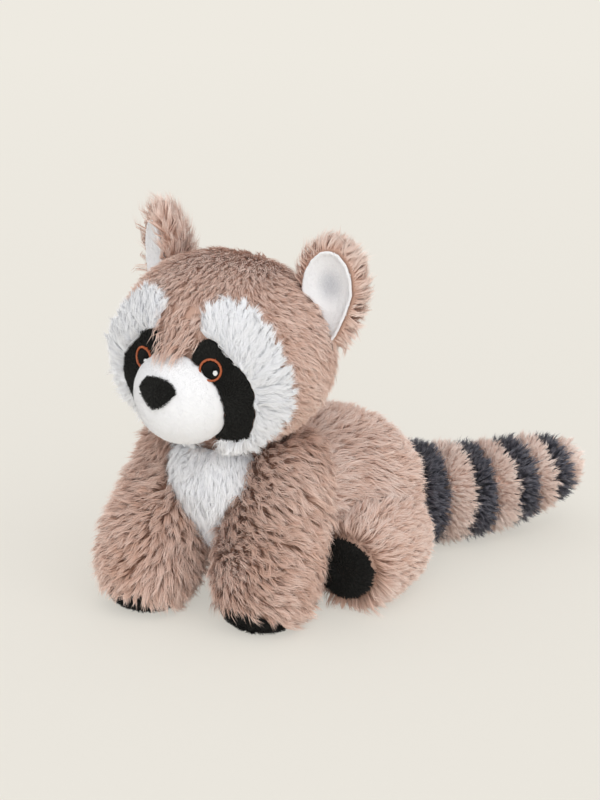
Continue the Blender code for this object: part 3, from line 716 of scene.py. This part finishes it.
# %% Tail rings
ring_names = [f"tail_band_{shade}_{i}" for i in range(1, 5) for shade in ("dark", "light")]
ring_middles = np.array([middle(name) for name in ring_names])
ring_leans = np.gradient(ring_middles, axis=0)
for i, node in enumerate(ring_names):
    dark = "dark" in node
    grow(f"{node}_coat", node,
         CHARCOAL_LONG if dark else TAUPE_LONG, lean_to(*unit(ring_leans[i])), 7.0 * MM, 3.4, 41 + i,
         clump=1.7 * MM, lift=0.95, lay=0.40, swirl=0.10, pull=0.3, voxel=2.4 * MM, rounds=3,
         skin_along=0.1 if dark else 0.45, shade=(0.2, 1) if dark else (0.65, 1))

# %% [markdown]
# ## Ears
#
# A flat stuffed ear with long pile on its back and rim, and a lining of white velour in its
# hollow front. The pile points away from the head and from the ear's middle, which gives the
# ragged rim. On the right ear it is longer and stands up more, as in the photograph.

# %% Ears
for label, seed in (("left", 51), ("right", 52)):
    ear_middle, lining_middle = middle(f"ear_{label}"), middle(f"ear_lining_{label}")
    ear_front = unit(lining_middle - ear_middle)

    def ear_nap(points, normals, origin=ear_middle, front=ear_front):
        """Away from the head and from the ear's middle, and a little back."""
        return unit(points - head_middle) + unit(points - origin) - 0.3 * front

    grow(f"ear_coat_{label}", f"ear_{label}", TAUPE_LONG, ear_nap,
         (9.5 if label == "left" else 12.5) * MM, 3.4, seed, clump=2.0 * MM,
         lift=0.5 if label == "left" else 0.75, swirl=0.25, voxel=1.6 * MM, rounds=2, shade=(0.38, 1))

# %% [markdown]
# ## Velour pieces
#
# The muzzle, the nose, the masks, the ear linings and the soles are sheared pile, 1 to 2.5 mm
# high, so they look almost smooth and have a soft, slightly ragged edge. A bump in the shader could
# stand for so short a pile, but only real fibres give that edge. Black pile fans out from the
# middle of its panel and covers the seam. The middle of an ear lining is drawn in where the ear is
# folded, so it sinks by two millimetres and less light reaches it. Its colour is darkened there
# too, towards the velour's grey root colour: painted shade in the hollow.

# %% Velour
VELOUR_LENGTH = {"white_short_pile": 0.935 * MM, "black_short_pile": 1.7 * MM, "sole_pile": 2.38 * MM}
velour = [("muzzle_velour", "muzzle", WHITE_SHORT, "white_short_pile", 3.6, 1.6, 6, -0.5),
          ("nose_velour", "nose", BLACK_SHORT, "black_short_pile", 6.0, 1.0, 4, 0.1)]
for label in ("left", "right"):
    lining, fore, hind = (f"{panel}_{label}" for panel in ("ear_lining", "sole_fore", "sole_hind"))
    velour += [(f"mask_velour_{label}", f"mask_{label}", BLACK_SHORT, "black_short_pile", 5.0, 0.8, 1, -0.15),
               (f"ear_lining_velour_{label}", lining, WHITE_SHORT, "white_short_pile", 2.5, 0.8, 3, 0.1),
               (f"sole_fore_velour_{label}", fore, BLACK_SHORT, "sole_pile", 2.6, 1.2, 3, -0.2),
               (f"sole_hind_velour_{label}", hind, BLACK_SHORT, "sole_pile", 3.2, 1.2, 3, -0.2)]


def out_from(node):
    """A nap that fans out from the middle of a panel, so the pile at its rim covers the seam."""
    centre = middle(node)
    return lambda points, normals: unit(points - centre)


def ear_dish(label):
    """How far each point of an ear lining sinks: most in the middle, none at the padded rim."""
    centre = middle(f"ear_lining_{label}")
    front = unit(centre - middle(f"ear_{label}"))
    across, half = unit(np.cross(front, [0, 0, 1])), (solid_box[f"ear_lining_{label}"][1] - centre)[2]

    def sink(points):
        offset = points - centre
        from_middle = np.hypot(offset @ across / (0.40 * half), (offset[:, 2] - 0.20 * half) / (0.52 * half))
        return -front * (DISH_DEPTH * np.clip(1 - from_middle ** 2, 0, 1))[:, None]

    return sink


for i, (name, node, material, slot, per_mm2, voxel, rounds, inset) in enumerate(velour):
    flat = slot == "white_short_pile"
    nap = lean_to(0, -0.2, -1) if flat else out_from(node)
    dish = ear_dish(node.rsplit("_", 1)[1]) if "lining" in node else None
    grow(name, node, material, nap, VELOUR_LENGTH[slot], per_mm2, 61 + i, clump=1.0 * MM,
         width=0.36 * MM, lift=0.28 if flat else 0.5, swirl=0.3, pull=0.3, loose=0.3, voxel=voxel * MM,
         inset=inset * MM, rounds=rounds, skin_along=0.6, shade=(0.5, 1) if flat else (0.4, 1),
         twist=0.25 if flat else 0.6, dish=dish, strict=False)

# %% [markdown]
# ## Eyes
#
# The eyes are machine embroidery in rayon thread: satin stitches that lie side by side over a low
# bed. The ring's stitches run outwards, the pupil's run up and down, and those of the small white
# light run across. Each stitch here is a rounded strip, half a millimetre wide. Lines are drawn
# over the eye from the front, and where a line meets the CAD solid, a stitch follows it. The UV
# map says how far a point is from a stitch's edges and ends to its crown. The thread colours run
# from dark there to pale on the crown, so the gaps between stitches get a painted shade and the
# crowns a painted highlight.

# %% Threads
# Each thread runs from a dark edge colour, which is painted shade between stitches, through its own colour to
# a pale crown colour, which is a painted highlight.
ORANGE_THREAD = pile_material("embroidered rayon thread, orange",
                              ("#6E2F10", "#A4471B", "#C26A38"), ("#7E3814", "#B45326", "#D07D4A"), 0.42, 0.0)
BLACK_THREAD = pile_material("embroidered rayon thread, black",
                             ("#020202", "#050505", "#0D0D0D"), ("#030303", "#080808", "#131313"),
                             0.5, 0.0, 0.15)
WHITE_THREAD = pile_material("embroidered rayon thread, white",
                             ("#BDBDC0", "#EDEDEE", "#F8F8F8"), ("#C6C6C8", "#F2F2F2", "#FBFBFB"), 0.42, 0.0)
THREAD_PITCH = 0.5 * MM
STITCH_ALONG = np.array([0.0, 0.08, 0.5, 0.92, 1.0])
STITCH_RISE = np.array([-0.35, 0.12, 0.22, 0.12, -0.35]) * MM
STITCH_ACROSS = np.array([-0.48, 0.0, 0.48]) * THREAD_PITCH
STITCH_EDGE = np.array([-0.16, 0.0, -0.16]) * MM
STITCH_FACES = [[row * 3 + column + k for k in (0, 1, 4, 3)] for row in range(4) for column in range(2)]
STITCH = (np.array(STITCH_FACES).ravel(), 4 * np.arange(len(STITCH_FACES)))


class EyePlane:
    """The plane of one eye: its middle, its right, up and outward directions, and the ring's radius."""

    def __init__(self, label):
        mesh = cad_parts[f"iris_ring_{label}"].data
        start = Vector(middle(f"iris_ring_{label}"))
        away = (start - Vector(head_middle)).normalized()
        self.outward = sum((p.normal * p.area for p in mesh.polygons if p.normal.dot(away) > 0.7), Vector())
        self.outward.normalize()
        self.right = Vector((0, 0, 1)).cross(self.outward).normalized()
        self.up = self.outward.cross(self.right)
        rim = [v.co - start for v in mesh.vertices if solid_tree["muzzle"].find_nearest(v.co)[3] > 0.6 * MM]
        spots = np.array([[spot.dot(self.right), spot.dot(self.up)] for spot in rim])
        centre = np.zeros(2)
        for _ in range(6):
            reach = np.linalg.norm(spots - centre, axis=1)
            outer = reach > 0.89 * np.percentile(reach, 90)
            circles = np.column_stack([2 * spots, outer, ~outer])
            centre = np.linalg.lstsq(circles, (spots ** 2).sum(1), rcond=None)[0][:2]
        self.radius = float(np.percentile(reach, 90))
        self.middle = start + self.right * centre[0] + self.up * centre[1]

    def meets(self, node, x, y):
        """Where the line through that place of the plane first meets the node, or None."""
        start = self.middle + self.right * x + self.up * y + self.outward * 12 * MM
        return solid_tree[node].ray_cast(start, -self.outward, 24 * MM)[0]


print("Thread pitch in mm:", THREAD_PITCH / MM, "faces a stitch:", len(STITCH_FACES))


# %% Embroider the eyes
def runs_over(plane, node, start, end, step=0.2 * MM):
    """The stretches of a line over the plane that meet the node, as lists of points."""
    run, runs = [], []
    for share in np.linspace(0, 1, int(math.dist(start, end) / step) + 1):
        place = plane.meets(node, *(start + (end - start) * share))
        if place is not None:
            run.append(np.array(place))
        if (place is None or share == 1) and run:
            runs.append(np.array(run))
            run = []
    return [run for run in runs if len(run) > 3]


def embroider(name, node, material, plane, lines, seed):
    """Satin stitches along the lines wherever they cross the node, over a low bed."""
    draw = np.random.default_rng(seed)
    outward, strands = np.array(plane.outward), []
    for start, end in lines:
        for run in runs_over(plane, node, np.array(start), np.array(end)):
            spots = run[np.round(STITCH_ALONG * (len(run) - 1)).astype(int)]
            spots = spots + outward * (STITCH_RISE * draw.uniform(0.8, 1.2))[:, None]
            across = unit(np.cross(outward, run[-1] - run[0]))
            strands.append([spot + across * side + outward * edge
                            for spot in spots for side, edge in zip(STITCH_ACROSS, STITCH_EDGE)])
    strands = np.array(strands)
    # Colour places from a stitch's edges and ends, dark as painted shade, to its crown, pale as a painted
    # highlight.
    stitch_shade_to_highlight = np.tile([0.2, 0.95, 0.2], len(STITCH_ALONG)) * np.repeat([0.4, 0.85, 1.0, 0.85, 0.4], 3)
    tint = np.repeat(draw.uniform(0.05, 0.95, len(strands))[:, None], len(stitch_shade_to_highlight), 1)
    strand_uv = np.stack([tint, np.tile(stitch_shade_to_highlight, (len(strands), 1))], 2)
    bed = skin_of(node, 0.45 * MM, 0.1 * MM, 1)
    # The bed between the stitches takes a dark colour: painted shade.
    bed_uv = np.tile([0.4, 0.2], (len(bed.points), 1))
    piece = write_piece(name, bed, strands, bed_uv, strand_uv, material, STITCH)
    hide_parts(node)
    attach(piece, "root")
    return piece


for label, seed in (("left", 81), ("right", 84)):
    plane = EyePlane(label)
    reach = 1.2 * plane.radius
    turns = np.linspace(0, 2 * math.pi, round(5.6 * plane.radius / THREAD_PITCH), endpoint=False)
    spokes = [((0.5 * reach * math.cos(a), 0.5 * reach * math.sin(a)),
               (reach * math.cos(a), reach * math.sin(a))) for a in turns]
    offsets = np.arange(-reach, reach, THREAD_PITCH)
    embroider(f"iris_ring_stitches_{label}", f"iris_ring_{label}", ORANGE_THREAD, plane,
              spokes, seed)
    embroider(f"pupil_stitches_{label}", f"pupil_{label}", BLACK_THREAD, plane,
              [((x, -reach), (x, reach)) for x in offsets], seed + 1)
    embroider(f"eye_light_stitches_{label}", f"eye_light_{label}", WHITE_THREAD, plane,
              [((-reach, y), (reach, y)) for y in offsets], seed + 2)
    print(f"Eye {label}: ring radius {plane.radius / MM:.1f} mm")

# %% [markdown]
# ## Finish
#
# The pile stands past the CAD solids by up to its own length. The triangles of all pieces are
# counted.

# %% Count the triangles
print("Triangles in all:", totals["triangles"])
